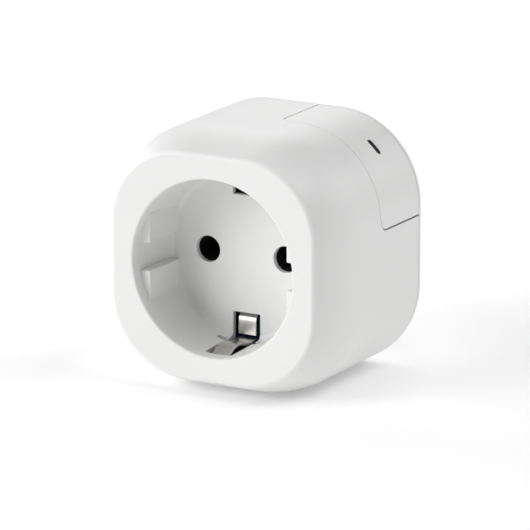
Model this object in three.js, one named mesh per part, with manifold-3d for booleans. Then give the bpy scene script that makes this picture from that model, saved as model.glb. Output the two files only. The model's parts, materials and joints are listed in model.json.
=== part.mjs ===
// A plug-in smart switch: a rounded cube with an earthed socket well in front and an earthed plug behind.
// Millimetres. X is right, Y runs from the socket face back to the plug pins, Z is up.
// Pieces are placed from the centre of the socket face, and the last group moves the origin
// to the middle of the footprint, on the surface that the plug stands on.

import * as THREE from 'three';
import { mergeVertices } from 'three/addons/utils/BufferGeometryUtils.js';
import Module from 'manifold-3d';

const wasm = await Module();
wasm.setup();

// ---- Driving dimensions ----

// Casing
const FACE_HALF = 24.8;        // half width of the flat socket face
const BODY_HALF = 28.3;        // half width of the body behind the shoulder
const SHOULDER_LENGTH = 14;    // depth over which the face flares out to the body
const FACE_CORNER = 17;        // corner radius at the face
const BODY_CORNER = 19.6;      // corner radius behind the shoulder
const FACE_EDGE_ROUND = 0.8;
const BODY_DEPTH = 43.5;
const REAR_ROUND = 3;
const WALL = 2.2;
const SEAM = 0.3;              // gap between neighbouring pieces
const REAR_SEAM = 0.15;        // gap between the housing and the rear cover
const COVER_FRONT = BODY_DEPTH - REAR_ROUND;
const HOUSING_REAR = COVER_FRONT - REAR_SEAM;

// Socket well
const WELL_RADIUS = 19.5;
const WELL_DRAFT = 0.6;        // how much narrower the well is at its floor
const WELL_LIP = 0.3;
const WELL_DEPTH = 15;
const WELL_FLOOR_ROUND = 1.2;
const CUP_RADIUS = 21.1;
const CUP_REAR = 16.2;
const PIN_SPACING = 19;
const PIN_HOLE_RADIUS = 2.9;
const GUIDE_CHORD = 16.7;      // distance of the flat guide pads from the axis
const GUIDE_FRONT = 2.6;
const GUIDE_HEIGHT = 9.6;
const GUIDE_NOTCH_HALF = 3.05;
const CLIP_SLOT_HALF = 3.35;
const CLIP_SLOT_FRONT = 2.9;
const CLIP_SLOT_REACH = 21.8;   // how far the clip slots cut into the wall, from the axis
const CLIP_POCKET_HALF = 5.5;  // half width of the cross pocket that the clips snap into
const WINDOW_INNER = 13;       // the floor window runs from here
const WINDOW_OUTER = 19.3;     // to here, from the axis

// Contact carrier, behind the well floor
const SHIELD_FRONT = CUP_REAR + SEAM;
const SHIELD_THICKNESS = 0.8;
const SHIELD_RADIUS = 18.8;
const COLLAR_RADIUS = 4.7;
const CARRIER_FRONT = 24;
const CARRIER_REAR = 26;
const PEG_RADIUS = 1.2;
const SLEEVE_FRONT = 24.6;     // the sleeves start here, the collars in front of them guide the pins

// Rear plug: it is turned a quarter against the socket, so its pins are one above the other
const BOSS_RADIUS = 18.2;
const BOSS_INNER = 16.4;
const BOSS_DEPTH = 17;
const BOSS_END = BODY_DEPTH + BOSS_DEPTH;
const BOSS_WALL = 2;
const BOSS_FLAT = 16.2;
const BOSS_KEY_HALF = 2.6;
const BOSS_GROOVE_HALF = 2.8;  // half width of the grooves for the rear earth contacts
const BOSS_GROOVE_FLOOR = 17.2;
const PIN_RADIUS = 2.4;
const PIN_LENGTH = 19;
const PIN_FLANGE_RADIUS = 3.6;
const PIN_TIP = BOSS_END + PIN_LENGTH;

// Button panel: it is cut along the corner's diagonal, so it can be pushed straight in
const PANEL_FRONT = 23;
const PANEL_LOW = -17.5;       // across the diagonal, at the top seam
const PANEL_HIGH = 15.4;       // across the diagonal, at the side seam
const PANEL_CORNER = 2.5;
const PANEL_FINE_SEAM = 0.12;  // gap at the front and top seams; the side seam is a full one
const PANEL_THICKNESS = 3.3;
const PANEL_FLANGE_TOP = 2.5;
const PANEL_FLANGE_WIDTH = 1.4;
const LIGHT_DEPTH = 31.5;      // distance of the status light from the socket face
const LIGHT_ACROSS = -0.6;     // its place across the diagonal
const LIGHT_HALF_LENGTH = 1.9;
const LIGHT_HALF_WIDTH = 0.6;
const LIGHT_GAP = 0.15;        // between the light window and its slot
const SWITCH_DEPTH = 26.3;

// Fasteners and boards
const SCREW_PLACE = 18.1;
const POST_RADIUS = 3.2;
const POST_HOLE_RADIUS = 1.5;
const SCREW_HEAD_SEAT_RADIUS = 2.6;
const BOARD_SCREW_PLACE = 21.9;
const BOARD_POST_RADIUS = 2.1;
const BOARD_POST_HOLE_RADIUS = 1.1;
const BOARD_FRONT = 36;
const BOARD_THICKNESS = 1.2;
const COMPONENT_BASE = BOARD_FRONT - SEAM;
const CONTROL_BOARD_INNER = 24; // distance of the control board from the axis, along the diagonal

// Contacts
const EARTH_CLIP_HALF = 2.2;
const EARTH_CLIP_THICKNESS = 0.6;
const REAR_EARTH_HALF = 2.5;
const REAR_EARTH_THICKNESS = 0.7;
const SLEEVE_INNER = 2.45;
const SLEEVE_OUTER = 3.3;
const SLEEVE_FLANGE = 4.6;
const SUPPLY_WIRE_RADIUS = 0.9;
const EARTH_WIRE_RADIUS = 0.65;

const FACE_TO_CENTRE = PIN_TIP / 2;

// ---- Directions ----

const ALONG_Y = new THREE.Matrix4().makeBasis(
  new THREE.Vector3(1, 0, 0), new THREE.Vector3(0, 0, 1), new THREE.Vector3(0, -1, 0));
const ALONG_X = new THREE.Matrix4().makeBasis(
  new THREE.Vector3(0, 1, 0), new THREE.Vector3(0, 0, 1), new THREE.Vector3(1, 0, 0));
const DIAGONAL_ACROSS = new THREE.Vector3(1, 0, -1).normalize();
const DIAGONAL_OUT = new THREE.Vector3(1, 0, 1).normalize();
const ALONG_DIAGONAL = new THREE.Matrix4().makeBasis(
  DIAGONAL_ACROSS, new THREE.Vector3(0, 1, 0), DIAGONAL_OUT);

// ---- Solids ----

// Merge a geometry's shared vertices, drop flat triangles and turn its faces outwards.
function closedMesh(geometry) {
  const bare = geometry.clone();
  bare.deleteAttribute('normal');
  bare.deleteAttribute('uv');
  const merged = mergeVertices(bare, 1e-4);
  const position = merged.attributes.position;
  const index = merged.index.array;
  const corner = [new THREE.Vector3(), new THREE.Vector3(), new THREE.Vector3()];
  const kept = [];
  let volume = 0;
  for (let i = 0; i < index.length; i += 3) {
    const [a, b, c] = [index[i], index[i + 1], index[i + 2]];
    if (a === b || b === c || c === a) continue;
    [a, b, c].forEach((vertex, n) => corner[n].fromBufferAttribute(position, vertex));
    volume += corner[0].dot(corner[1].cross(corner[2]));
    kept.push(a, b, c);
  }
  if (volume < 0) kept.reverse();
  merged.setIndex(kept);
  return merged;
}

function solid(geometry) {
  const merged = closedMesh(geometry);
  return new wasm.Manifold(new wasm.Mesh({
    numProp: 3,
    vertProperties: Float32Array.from(merged.attributes.position.array),
    triVerts: Uint32Array.from(merged.index.array),
  }));
}

function geometryOf(manifold) {
  const mesh = manifold.getMesh();
  const geometry = new THREE.BufferGeometry();
  geometry.setAttribute('position', new THREE.BufferAttribute(Float32Array.from(mesh.vertProperties), 3));
  geometry.setIndex([...mesh.triVerts]);
  return geometry;
}

function cutAll(body, tools) {
  return tools.reduce((result, tool) => result.subtract(tool), body);
}

function joinAll(bodies) {
  return bodies.reduce((result, body) => result.add(body));
}

// A box between two values on each axis
function boxGeometry([x0, x1], [y0, y1], [z0, z1]) {
  const box = new THREE.BoxGeometry(x1 - x0, y1 - y0, z1 - z0);
  return box.translate((x0 + x1) / 2, (y0 + y1) / 2, (z0 + z1) / 2);
}

function box(xRange, yRange, zRange) {
  return solid(boxGeometry(xRange, yRange, zRange));
}

// The range between two distances from the axis, above it (side 1) or below it (side -1)
function sideSpan(side, inner, outer) {
  return side > 0 ? [inner, outer] : [-outer, -inner];
}

// A round bar along Y
function barGeometry(radius, y0, y1, x = 0, z = 0, sides = 24) {
  const bar = new THREE.CylinderGeometry(radius, radius, y1 - y0, sides);
  return bar.translate(x, (y0 + y1) / 2, z);
}

function bar(radius, y0, y1, x = 0, z = 0, sides = 24) {
  return solid(barGeometry(radius, y0, y1, x, z, sides));
}

// A turned piece about the Y axis, from [radius, y] pairs
function turnedGeometry(profile, sides = 24) {
  return new THREE.LatheGeometry(profile.map(([radius, y]) => new THREE.Vector2(radius, y)), sides);
}

// A closed skin through rings of equal length, with both ends capped
function loft(rings) {
  const count = rings[0].length;
  const vertices = rings.flat().flatMap((point) => point.toArray());
  const triangles = [];
  for (let ring = 0; ring + 1 < rings.length; ring++) {
    for (let i = 0; i < count; i++) {
      const a = ring * count + i;
      const b = ring * count + (i + 1) % count;
      triangles.push(a, b, b + count, a, b + count, a + count);
    }
  }
  const last = (rings.length - 1) * count;
  for (let i = 1; i + 1 < count; i++) {
    triangles.push(0, i + 1, i, last, last + i, last + i + 1);
  }
  const geometry = new THREE.BufferGeometry();
  geometry.setAttribute('position', new THREE.Float32BufferAttribute(vertices, 3));
  geometry.setIndex(triangles);
  return geometry;
}

function roundedSquare(half, radius, y, stepsPerCorner = 8) {
  const points = [];
  for (let corner = 0; corner < 4; corner++) {
    const signX = corner === 0 || corner === 3 ? 1 : -1;
    const signZ = corner < 2 ? 1 : -1;
    for (let step = 0; step <= stepsPerCorner; step++) {
      const angle = (corner + step / stepsPerCorner) * Math.PI / 2;
      const x = signX * (half - radius) + radius * Math.cos(angle);
      const z = signZ * (half - radius) + radius * Math.sin(angle);
      points.push(new THREE.Vector3(x, y, z));
    }
  }
  return points;
}

function extrudeAlongY(shape, y0, y1) {
  const geometry = new THREE.ExtrudeGeometry(shape, { depth: y1 - y0, bevelEnabled: false });
  return geometry.applyMatrix4(ALONG_Y).translate(0, y1, 0);
}

// A bent strip of constant thickness: its midline is [y, z] pairs and it is extruded along X
function stripGeometry(midline, thickness, halfWidth) {
  const line = midline.map(([y, z]) => new THREE.Vector2(y, z));
  const sides = [[], []];
  line.forEach((point, i) => {
    const before = line[Math.max(i - 1, 0)];
    const after = line[Math.min(i + 1, line.length - 1)];
    const along = after.clone().sub(before).normalize();
    const normal = new THREE.Vector2(-along.y, along.x).multiplyScalar(thickness / 2);
    sides[0].push(point.clone().add(normal));
    sides[1].unshift(point.clone().sub(normal));
  });
  const shape = new THREE.Shape(sides.flat());
  const geometry = new THREE.ExtrudeGeometry(shape, { depth: 2 * halfWidth, bevelEnabled: false });
  return geometry.applyMatrix4(ALONG_X).translate(-halfWidth, 0, 0);
}

// A wire of constant radius through [x, y, z] points
function wireGeometry(points, radius) {
  const path = new THREE.CatmullRomCurve3(points.map((point) => new THREE.Vector3(...point)));
  const section = new THREE.Shape();
  section.absarc(0, 0, radius, 0, 2 * Math.PI);
  return new THREE.ExtrudeGeometry(section, {
    steps: 14, curveSegments: 4, bevelEnabled: false, extrudePath: path,
  });
}

// Turn a strip made for the top of the well into the one at the bottom
function upsideDown(geometry) {
  return geometry.rotateY(Math.PI);
}

// ---- Casing shape ----

// How far a rounded edge has drawn in at a distance past where its round begins
function drawnIn(round, past) {
  return round - Math.sqrt(Math.max(round ** 2 - past ** 2, 0));
}

// The outline of the casing at a depth behind the face, shrunk by an inset
function outline(y, inset) {
  const flare = 1 - (1 - Math.min(y / SHOULDER_LENGTH, 1)) ** 2;
  const half = FACE_HALF + (BODY_HALF - FACE_HALF) * flare;
  const radius = FACE_CORNER + (BODY_CORNER - FACE_CORNER) * flare;
  const atFront = drawnIn(FACE_EDGE_ROUND, Math.max(FACE_EDGE_ROUND - y, 0));
  const atRear = drawnIn(REAR_ROUND, Math.max(y - COVER_FRONT, 0));
  const shrink = inset + atFront + atRear;
  return roundedSquare(half - shrink, radius - shrink, y);
}

// The casing through a list of depths, shrunk by an inset
function casing(depths, inset = 0) {
  return solid(loft(depths.map((y) => outline(y, inset))));
}

const SHOULDER_DEPTHS = [1.8, 3.2, 5, 7.2, 10, SHOULDER_LENGTH];
const PAST_REAR = BODY_DEPTH + 1;

function straightCasing(y0, y1, inset) {
  return solid(loft([y0, y1].map((y) => roundedSquare(BODY_HALF - inset, BODY_CORNER - inset, y))));
}

// A block cut along the corner's diagonal, with its two front corners rounded
function diagonalBlock(low, high, front, rear) {
  const round = PANEL_CORNER;
  const shape = new THREE.Shape();
  shape.moveTo(low, rear);
  shape.lineTo(low, front + round);
  shape.absarc(low + round, front + round, round, Math.PI, 1.5 * Math.PI);
  shape.lineTo(high - round, front);
  shape.absarc(high - round, front + round, round, 1.5 * Math.PI, 2 * Math.PI);
  shape.lineTo(high, rear);
  const block = new THREE.ExtrudeGeometry(shape, { depth: 60, curveSegments: 5, bevelEnabled: false });
  return solid(block.applyMatrix4(ALONG_DIAGONAL));
}

// ---- Front housing ----

function wellCutter() {
  const floorRadius = WELL_RADIUS - WELL_DRAFT;
  const profile = [
    [0, -1], [WELL_RADIUS + WELL_LIP, -1], [WELL_RADIUS + WELL_LIP, 0], [WELL_RADIUS, WELL_LIP],
  ];
  const steps = 3;
  for (let step = 0; step <= steps; step++) {
    const angle = step / steps * Math.PI / 2;
    profile.push([
      floorRadius - WELL_FLOOR_ROUND * (1 - Math.cos(angle)),
      WELL_DEPTH - WELL_FLOOR_ROUND * (1 - Math.sin(angle)),
    ]);
  }
  profile.push([0, WELL_DEPTH]);
  return solid(turnedGeometry(profile, 56));
}

function guidePads() {
  const inWall = bar((WELL_RADIUS + CUP_RADIUS) / 2, GUIDE_FRONT, CUP_REAR, 0, 0, 56);
  const pads = [];
  for (const [x0, x1] of [[GUIDE_CHORD, CUP_RADIUS], [-CUP_RADIUS, -GUIDE_CHORD]]) {
    for (const [z0, z1] of [[GUIDE_NOTCH_HALF, GUIDE_HEIGHT], [-GUIDE_HEIGHT, -GUIDE_NOTCH_HALF]]) {
      pads.push(box([x0, x1], [GUIDE_FRONT, CUP_REAR], [z0, z1]).intersect(inWall));
    }
  }
  return joinAll(pads);
}

function earthSlotCutters() {
  const cutters = [];
  const behindFloor = CUP_REAR + 0.5;
  const slotWidth = [-CLIP_SLOT_HALF, CLIP_SLOT_HALF];
  const pocketWidth = [-CLIP_POCKET_HALF, CLIP_POCKET_HALF];
  for (const side of [1, -1]) {
    const wallSlot = sideSpan(side, 17, CLIP_SLOT_REACH);
    const floorWindow = sideSpan(side, WINDOW_INNER, WINDOW_OUTER);
    const crossPocket = sideSpan(side, 17, CLIP_SLOT_REACH);
    cutters.push(box(slotWidth, [CLIP_SLOT_FRONT, behindFloor], wallSlot));
    cutters.push(box(slotWidth, [WELL_DEPTH - 1, behindFloor], floorWindow));
    cutters.push(box(pocketWidth, [11.4, 13], crossPocket));
  }
  return cutters;
}

function frontHousing() {
  const frontEdge = [0, 0.12, 0.4, FACE_EDGE_ROUND];
  const outside = casing([...frontEdge, ...SHOULDER_DEPTHS, HOUSING_REAR]);
  const inside = casing([WALL, ...SHOULDER_DEPTHS.slice(1), COVER_FRONT], WALL);
  const cup = bar(CUP_RADIUS, 1, CUP_REAR, 0, 0, 56);
  const postRear = HOUSING_REAR - SEAM;
  const boardPostRear = BOARD_FRONT - SEAM;
  const pegRear = CARRIER_FRONT - SEAM;
  const screwPosts = SCREW_PLACES.map(([x, z]) => bar(POST_RADIUS, 3, postRear, x, z));
  const boardPosts = BOARD_SCREW_PLACES.map((x) => bar(BOARD_POST_RADIUS, 6, boardPostRear, x));
  const carrierPegs = CARRIER_PEG_PLACES.map(([x, z]) => bar(PEG_RADIUS, CUP_REAR - 1, pegRear, x, z, 12));
  const shell = joinAll([outside.subtract(inside), cup, ...screwPosts, ...boardPosts, ...carrierPegs]);
  const hollowed = shell.subtract(wellCutter()).add(guidePads());
  return cutAll(hollowed, [
    ...earthSlotCutters(),
    ...PIN_PLACES.map((x) => bar(PIN_HOLE_RADIUS, WELL_DEPTH - 1, CUP_REAR + 1, x)),
    ...SCREW_PLACES.map(([x, z]) => bar(POST_HOLE_RADIUS, 29, PAST_REAR, x, z, 12)),
    ...BOARD_SCREW_PLACES.map((x) => bar(BOARD_POST_HOLE_RADIUS, 28, BOARD_FRONT, x, 0, 12)),
    diagonalBlock(PANEL_LOW, PANEL_HIGH, PANEL_FRONT, PAST_REAR),
  ]);
}

// ---- Rear cover with the plug ----

function bossOutside() {
  const round = bar(BOSS_RADIUS, BODY_DEPTH - 1, BOSS_END, 0, 0, 48);
  const flats = [];
  for (const above of [1, -1]) {
    for (const beside of [1, -1]) {
      flats.push(box(
        sideSpan(beside, BOSS_KEY_HALF, 12), [BODY_DEPTH, BOSS_END + 1], sideSpan(above, BOSS_FLAT, 20)));
    }
  }
  return cutAll(round, flats);
}

function rearCover() {
  const roundDepths = [0, 0.3, 0.6, 0.8, 0.93, 1].map((share) => COVER_FRONT + share * REAR_ROUND);
  const plate = casing(roundDepths).subtract(straightCasing(COVER_FRONT - 1, BODY_DEPTH - 1.8, WALL));
  const skirtFront = 38.4;
  const skirt = straightCasing(skirtFront, BODY_DEPTH - 1.5, WALL + SEAM)
    .subtract(straightCasing(skirtFront - 1, BODY_DEPTH, WALL + SEAM + 1.4))
    .subtract(diagonalBlock(PANEL_LOW - 2, PANEL_HIGH + 2, 20, BODY_DEPTH - 1.8));
  const seatRadius = POST_RADIUS + 0.6;
  const clearOfPosts = SCREW_PLACES.map(([x, z]) => bar(seatRadius, skirtFront - 1, HOUSING_REAR, x, z));
  const seats = SCREW_PLACES.map(([x, z]) => bar(seatRadius, HOUSING_REAR, BODY_DEPTH - 1, x, z));
  const whole = joinAll([plate, cutAll(skirt, clearOfPosts), bossOutside(), ...seats]);
  const grooveWidth = [-BOSS_GROOVE_HALF, BOSS_GROOVE_HALF];
  const grooveFront = BODY_DEPTH + 0.3;
  const contactGrooves = [1, -1].flatMap((side) => [
    box(sideSpan(side, BOSS_GROOVE_FLOOR, 19), [grooveFront, BOSS_END + 1], grooveWidth),
    box(sideSpan(side, 15, 19), [grooveFront, BODY_DEPTH + 1.6], grooveWidth),
    box(sideSpan(side, BOSS_INNER, 19), [BOSS_END - 1.1, BOSS_END + 1], grooveWidth),
  ]);
  return cutAll(whole, [
    bar(BOSS_INNER, COVER_FRONT - 2, BOSS_END - BOSS_WALL, 0, 0, 48),
    ...contactGrooves,
    ...PIN_PLACES.map((z) => bar(PIN_RADIUS + 0.2, BOSS_END - 4, BOSS_END + 1, 0, z)),
    ...SCREW_PLACES.map(([x, z]) => bar(POST_HOLE_RADIUS + 0.1, COVER_FRONT - 2, PAST_REAR, x, z, 12)),
    ...SCREW_PLACES.map(([x, z]) => bar(SCREW_HEAD_SEAT_RADIUS, BODY_DEPTH - 1.6, PAST_REAR, x, z)),
  ]);
}

// ---- Button panel ----

// The status light's block between two heights along the diagonal, made larger by a gap all round
function lightBox(gap, low, high) {
  const halfLength = LIGHT_HALF_LENGTH + gap;
  const halfWidth = LIGHT_HALF_WIDTH + gap;
  return boxGeometry(
    [LIGHT_ACROSS - halfLength, LIGHT_ACROSS + halfLength],
    [LIGHT_DEPTH - halfWidth, LIGHT_DEPTH + halfWidth], [low, high]);
}

function buttonPanel() {
  const low = PANEL_LOW + PANEL_FINE_SEAM;
  const high = PANEL_HIGH - SEAM;
  const front = PANEL_FRONT + PANEL_FINE_SEAM;
  const widen = SEAM + PANEL_FLANGE_WIDTH;
  const skin = straightCasing(front - 4, HOUSING_REAR, 0)
    .intersect(diagonalBlock(low, high, front, PAST_REAR));
  const flange = straightCasing(front - 4, HOUSING_REAR, PANEL_FLANGE_TOP)
    .intersect(diagonalBlock(low - widen, high + widen, front - widen, PAST_REAR));
  const lightSlot = lightBox(LIGHT_GAP, 20, 40);
  return skin.add(flange)
    .subtract(straightCasing(0, PAST_REAR, PANEL_THICKNESS))
    .subtract(solid(lightSlot.applyMatrix4(ALONG_DIAGONAL)));
}

// ---- Places that several pieces share ----

const PIN_PLACES = [-PIN_SPACING / 2, PIN_SPACING / 2];
const SCREW_PLACES = [[-SCREW_PLACE, SCREW_PLACE], [-SCREW_PLACE, -SCREW_PLACE], [SCREW_PLACE, -SCREW_PLACE]];
const BOARD_SCREW_PLACES = [-BOARD_SCREW_PLACE, BOARD_SCREW_PLACE];
const CARRIER_PEG_PLACES = [[-13.4, 5.6], [-13.4, -5.6], [13.4, 5.6], [13.4, -5.6]];

// ---- Contacts ----

function contactSleeve() {
  const front = SLEEVE_FRONT;
  const flangeFront = CARRIER_REAR + SEAM;
  const flangeRear = 27;
  const rear = 34.2;
  const tube = turnedGeometry([
    [SLEEVE_INNER, front], [SLEEVE_OUTER, front], [SLEEVE_OUTER, flangeFront], [SLEEVE_FLANGE, flangeFront],
    [SLEEVE_FLANGE, flangeRear], [SLEEVE_OUTER, flangeRear], [SLEEVE_OUTER, rear], [SLEEVE_INNER, rear],
    [SLEEVE_INNER, front],
  ]);
  const springSlit = box([-0.4, 0.4], [flangeRear + 1, rear + 1], [0, 4]);
  const boardTail = box([-1.2, 1.2], [rear - 0.9, COMPONENT_BASE], [-SLEEVE_OUTER, -2.6]);
  return solid(tube).subtract(springSlit).add(boardTail);
}

// A dark shield just behind the well floor, two collars that guide the pins, and a plate on the pegs
function contactCarrier() {
  const shieldRear = SHIELD_FRONT + SHIELD_THICKNESS;
  const shield = bar(SHIELD_RADIUS, SHIELD_FRONT, shieldRear, 0, 0, 48);
  const plate = box([-15, 15], [CARRIER_FRONT, CARRIER_REAR], [-7, 7]);
  const collars = PIN_PLACES.map((x) => bar(COLLAR_RADIUS, SHIELD_FRONT, CARRIER_REAR - 0.5, x));
  const slotWidth = [-CLIP_SLOT_HALF, CLIP_SLOT_HALF];
  return cutAll(joinAll([plate, shield, ...collars]), [
    ...PIN_PLACES.map((x) => bar(PIN_HOLE_RADIUS, SHIELD_FRONT - 1, SLEEVE_FRONT, x)),
    ...PIN_PLACES.map((x) => bar(SLEEVE_OUTER + SEAM, SLEEVE_FRONT - SEAM, CARRIER_REAR + 1, x)),
    ...CARRIER_PEG_PLACES.map(([x, z]) => bar(PEG_RADIUS + SEAM, SHIELD_FRONT - 1, shieldRear + 1, x, z, 12)),
    ...[1, -1].map((side) =>
      box(slotWidth, [SHIELD_FRONT - 1, shieldRear + 1], sideSpan(side, WINDOW_INNER - 1.1, SHIELD_RADIUS + 1))),
  ]);
}

const EARTH_CLIP_MIDLINE = [
  [17.3, 18.6], [13, 19.1], [10, 18.6], [8.6, 18.3], [7.2, 18.3], [5.6, 18.8], [3.7, 20],
];
// The bridge's ends come forward into the floor windows
const EARTH_BRIDGE_MIDLINE = [
  [15.6, 17.9], [15.6, 14.8], [16.1, 13.9], [17.4, 12.8], [17.9, 11.8],
  [17.9, -11.8], [17.4, -12.8], [16.1, -13.9], [15.6, -14.8], [15.6, -17.9],
];
const REAR_EARTH_MIDLINE = [
  [BODY_DEPTH + 0.95, 13.6], [BODY_DEPTH + 0.95, 17.2], [BODY_DEPTH + 1.7, 17.9],
  [BOSS_END - 1.2, 17.9], [BOSS_END - 0.6, 17.2],
];

function plugPin() {
  const innerEnd = 47;
  const flangeRear = BOSS_END - BOSS_WALL - SEAM;
  const profile = [
    [0, innerEnd], [1.8, innerEnd], [1.8, flangeRear - 1], [PIN_FLANGE_RADIUS, flangeRear - 1],
    [PIN_FLANGE_RADIUS, flangeRear], [PIN_RADIUS, flangeRear],
  ];
  const steps = 5;
  for (let step = 0; step <= steps; step++) {
    const angle = step / steps * Math.PI / 2;
    profile.push([PIN_RADIUS * Math.cos(angle), PIN_TIP - PIN_RADIUS * (1 - Math.sin(angle))]);
  }
  return turnedGeometry(profile);
}

// ---- Boards ----

function mainBoard() {
  const armHalf = 12.6;
  const reachX = 23.8;
  const reachZ = 21.9;
  const quarter = [[reachX, armHalf], [armHalf, armHalf], [armHalf, reachZ]];
  const outline = [
    ...quarter.map(([x, z]) => [x, z]),
    ...quarter.toReversed().map(([x, z]) => [-x, z]),
    ...quarter.map(([x, z]) => [-x, -z]),
    ...quarter.toReversed().map(([x, z]) => [x, -z]),
  ];
  const shape = new THREE.Shape(outline.map(([x, z]) => new THREE.Vector2(x, z)));
  for (const side of [-1, 1]) {
    const hole = new THREE.Path();
    hole.absarc(side * BOARD_SCREW_PLACE, 0, BOARD_POST_HOLE_RADIUS, 0, 2 * Math.PI, true);
    shape.holes.push(hole);
  }
  return extrudeAlongY(shape, BOARD_FRONT, BOARD_FRONT + BOARD_THICKNESS);
}

function screw(tip, underHead, top, shaftRadius, headRadius) {
  return turnedGeometry([
    [0, tip], [shaftRadius, tip + shaftRadius], [shaftRadius, underHead], [headRadius, underHead],
    [headRadius, top - 0.3], [headRadius - 0.3, top], [0, top],
  ], 16);
}

// ---- Materials ----

function material(color, roughness, metalness = 0) {
  return new THREE.MeshStandardMaterial({ color, roughness, metalness });
}

const WHITE_PLASTIC = () => material(0xf1f1ef, 0.38);
const GREY_PLASTIC = () => material(0x8c8f92, 0.5);
const BLACK_PLASTIC = () => material(0x1b1c1e, 0.45);
const BLUE_PLASTIC = () => material(0x2a5fa8, 0.45);
const YELLOW_TAPE = () => material(0xe2b93b, 0.5);
const BOARD_GREEN = () => material(0x1f6b45, 0.55);
const STEEL = () => material(0xb9bcc0, 0.3, 1);
const BRASS = () => material(0xc9a552, 0.32, 1);
const BROWN_SLEEVE = () => material(0x6b4226, 0.55);
const BLUE_SLEEVE = () => material(0x2f62b5, 0.55);
const EARTH_SLEEVE = () => material(0x7bab3c, 0.55);

// ---- Assembly ----

const smartPlug = new THREE.Group();
const assembly = new THREE.Group();
assembly.position.set(0, -FACE_TO_CENTRE, BODY_HALF);
smartPlug.add(assembly);

function addPart(name, geometry, finish, parent = assembly) {
  const mesh = new THREE.Mesh(geometry, finish);
  mesh.name = name;
  parent.add(mesh);
  return mesh;
}

// Casing
addPart('front_housing', geometryOf(frontHousing()), WHITE_PLASTIC());
addPart('rear_cover', geometryOf(rearCover()), WHITE_PLASTIC());
SCREW_PLACES.forEach(([x, z], i) => {
  const mesh = addPart(`housing_screw_${i + 1}`, screw(30, 42.1, 43.3, 1.2, 2.3), STEEL());
  mesh.position.set(x, 0, z);
});

// Button panel
addPart('button_panel', geometryOf(buttonPanel()), WHITE_PLASTIC());

// Control board behind the panel: here X runs across the diagonal and Z runs outwards along it
const corner = new THREE.Group();
corner.quaternion.setFromRotationMatrix(ALONG_DIAGONAL);
assembly.add(corner);
const controlBoardOuter = CONTROL_BOARD_INNER + BOARD_THICKNESS;
const onControlBoard = controlBoardOuter + SEAM;
const casingCorner = (BODY_HALF - BODY_CORNER) * Math.SQRT2 + BODY_CORNER;
const panelInner = casingCorner - PANEL_THICKNESS;
const switchTop = panelInner - 1.1;
const depthBox = (halfX, y0, y1, z0, z1) => boxGeometry([-halfX, halfX], [y0, y1], [z0, z1]);

addPart('control_board', depthBox(9, 22, 35.5, CONTROL_BOARD_INNER, controlBoardOuter),
  BOARD_GREEN(), corner);
addPart('radio_board', depthBox(7.5, 22.4, 32.8, 22.9, CONTROL_BOARD_INNER - SEAM), BLACK_PLASTIC(), corner);
addPart('radio_shield_can', depthBox(6, 23.4, 31.8, 20.6, 22.6), STEEL(), corner);
addPart('board_connector', depthBox(6, 33.2, COMPONENT_BASE, 21.9, CONTROL_BOARD_INNER - SEAM),
  BLACK_PLASTIC(), corner);
addPart('status_led', depthBox(1, LIGHT_DEPTH - 0.6, LIGHT_DEPTH + 0.6, onControlBoard, onControlBoard + 0.9),
  GREY_PLASTIC(), corner);
addPart('status_light_window', lightBox(0, panelInner - 1, casingCorner - 0.15), BLACK_PLASTIC(), corner);

function alongDiagonalBar(radius, z0, z1, sides = 20) {
  const geometry = new THREE.CylinderGeometry(radius, radius, z1 - z0, sides);
  return geometry.rotateX(Math.PI / 2).translate(0, SWITCH_DEPTH, (z0 + z1) / 2);
}

const switchBody = solid(depthBox(3, SWITCH_DEPTH - 3, SWITCH_DEPTH + 3, onControlBoard, switchTop))
  .subtract(solid(alongDiagonalBar(1.95, onControlBoard + 0.5, switchTop + 1)));
addPart('button_switch_body', geometryOf(switchBody), BLACK_PLASTIC(), corner);
const plunger = alongDiagonalBar(1.6, onControlBoard + 1.3, panelInner - SEAM);
addPart('button_switch_plunger', plunger, GREY_PLASTIC(), corner);

// Socket contacts and the board's screws
for (const [name, side] of [['left', -1], ['right', 1]]) {
  const sleeve = addPart(`contact_sleeve_${name}`, geometryOf(contactSleeve()), BRASS());
  sleeve.position.x = side * PIN_SPACING / 2;
  const boardScrew = addPart(`board_screw_${name}`, screw(29.5, 37.5, 38.5, 0.8, 1.7), STEEL());
  boardScrew.position.x = side * BOARD_SCREW_PLACE;
}
addPart('contact_carrier', geometryOf(contactCarrier()), BLACK_PLASTIC());
const earthClip = () => stripGeometry(EARTH_CLIP_MIDLINE, EARTH_CLIP_THICKNESS, EARTH_CLIP_HALF);
addPart('earth_bridge', stripGeometry(EARTH_BRIDGE_MIDLINE, EARTH_CLIP_THICKNESS, EARTH_CLIP_HALF), STEEL());
addPart('earth_clip_top', earthClip(), STEEL());
addPart('earth_clip_bottom', upsideDown(earthClip()), STEEL());

// Plug contacts
for (const [name, side] of [['upper', 1], ['lower', -1]]) {
  addPart(`plug_pin_${name}`, plugPin(), STEEL()).position.z = side * PIN_SPACING / 2;
}
for (const [name, side] of [['left', -1], ['right', 1]]) {
  const contact = stripGeometry(REAR_EARTH_MIDLINE, REAR_EARTH_THICKNESS, REAR_EARTH_HALF);
  addPart(`rear_earth_contact_${name}`, contact.rotateY(side * Math.PI / 2), STEEL());
}
addPart('rear_earth_strap', boxGeometry([-15.2, 15.2], [45.1, 45.7], [-2, 2]), STEEL());

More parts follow.
